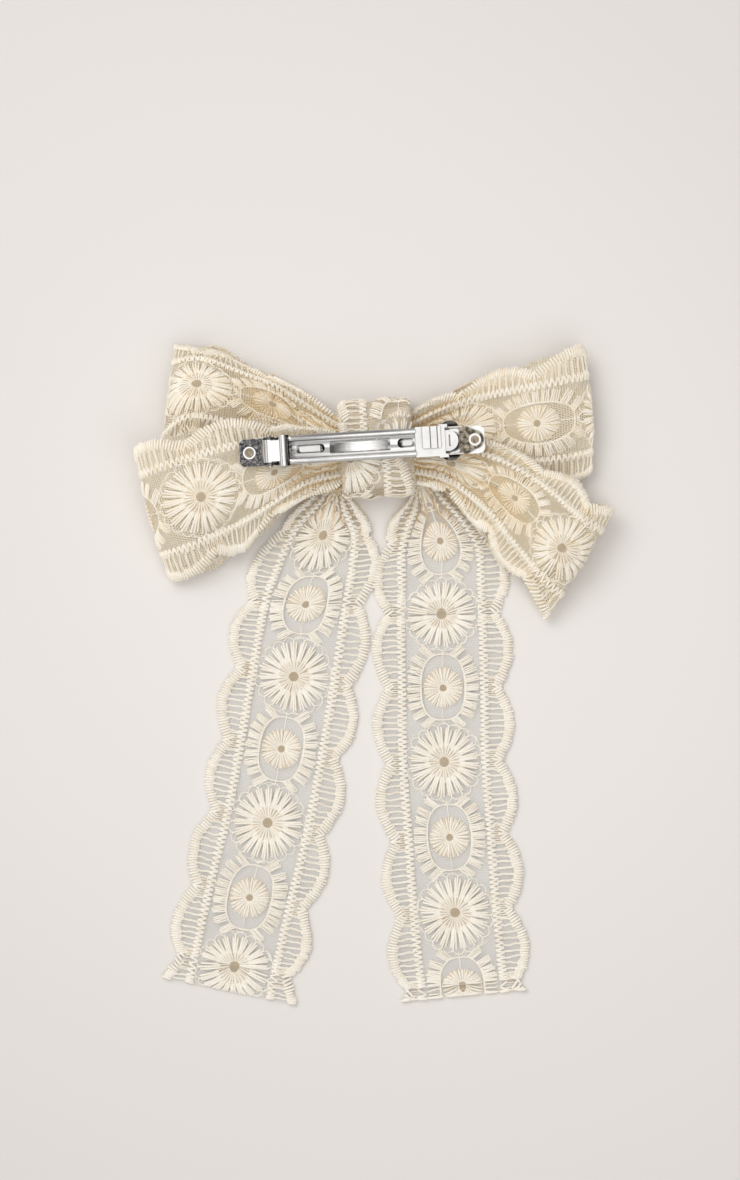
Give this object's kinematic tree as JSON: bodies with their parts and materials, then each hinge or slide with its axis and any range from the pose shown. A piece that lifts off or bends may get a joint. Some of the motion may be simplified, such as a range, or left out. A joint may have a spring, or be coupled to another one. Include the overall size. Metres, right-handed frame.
{
  "type": "lace hair bow barrette",
  "caption": "Gathered lace bow with looped ribbon, long flat tails and a wrapped knot, on a hinged metal spring barrette for clipping hair.",
  "frame": {"origin": "on the surface that the bow lies on, front down, directly under the middle of the barrette", "axes": "+X along the barrette from its hinge to its clasp, +Y towards the top of the bow, +Z out of the surface towards the clip side"},
  "size_m": [0.1569, 0.2215, 0.0264],
  "materials": {
    "lace": "cream embroidered cotton lace on fine net",
    "knot_lace": "cream lace, gathered tight",
    "thread": "cream sewing thread",
    "glue": "set hot glue, cloudy",
    "plate_metal": "bright nickel plate on pressed steel",
    "clip_metal": "bright nickel plate, lightly rolled",
    "spring_metal": "bright spring steel",
    "dark_metal": "nickel plated spring steel, worn and darker"
  },
  "bodies": {
    "bow": {"upper_left_loop": "lace", "upper_right_loop": "lace", "lower_left_loop": "lace", "lower_right_loop": "lace", "left_tail_top": "lace", "right_tail_top": "lace", "knot_wrap": "knot_lace", "gather_core": "lace", "binding_thread": "thread", "glue_pad": "glue", "base_plate": "plate_metal", "hinge_pin": "clip_metal", "clasp_plate": "dark_metal", "clasp_eyelet": "clip_metal"},
    "arm": {"clip_arm": "clip_metal", "catch_box": "clip_metal"},
    "spring": {"tension_bar": "spring_metal"},
    "upper_ear": {"upper_release_ear": "dark_metal"},
    "lower_ear": {"lower_release_ear": "dark_metal"},
    "left_ribbon": {"left_tail": "lace"},
    "right_ribbon": {"right_tail": "lace"}
  },
  "joints": [
    {"name": "arm_hinge", "type": "hinge", "parent": "bow", "child": "arm", "pos_m": [-0.0301, 0, 0.023], "axis": [0, -1, 0], "range_deg": [0, 100]},
    {"name": "tension_flex", "type": "slide", "parent": "arm", "child": "spring", "axis": [0, 0, 1], "range_m": [0, 0.0005], "stiffness_N_per_m": 60},
    {"name": "upper_ear_pinch", "type": "hinge", "parent": "bow", "child": "upper_ear", "pos_m": [0.0288, 0.00435, 0.0201], "axis": [1, 0, 0], "range_deg": [0, 6], "stiffness_Nm_per_rad": 0.01},
    {"name": "lower_ear_pinch", "type": "hinge", "parent": "bow", "child": "lower_ear", "pos_m": [0.0288, -0.00435, 0.0201], "axis": [1, 0, 0], "range_deg": [-6, 0], "stiffness_Nm_per_rad": 0.01},
    {"name": "left_tail_lift", "type": "hinge", "parent": "bow", "child": "left_ribbon", "pos_m": [-0.021, -0.048, 0.0009], "axis": [-1, 0, 0], "range_deg": [0, 75]},
    {"name": "right_tail_lift", "type": "hinge", "parent": "bow", "child": "right_ribbon", "pos_m": [0.0234, -0.048, 0.0009], "axis": [-1, 0, 0], "range_deg": [0, 75]}
  ],
  "couplings": [
    {"joint": "lower_ear_pinch", "follows": "upper_ear_pinch", "ratio": -1}
  ]
}
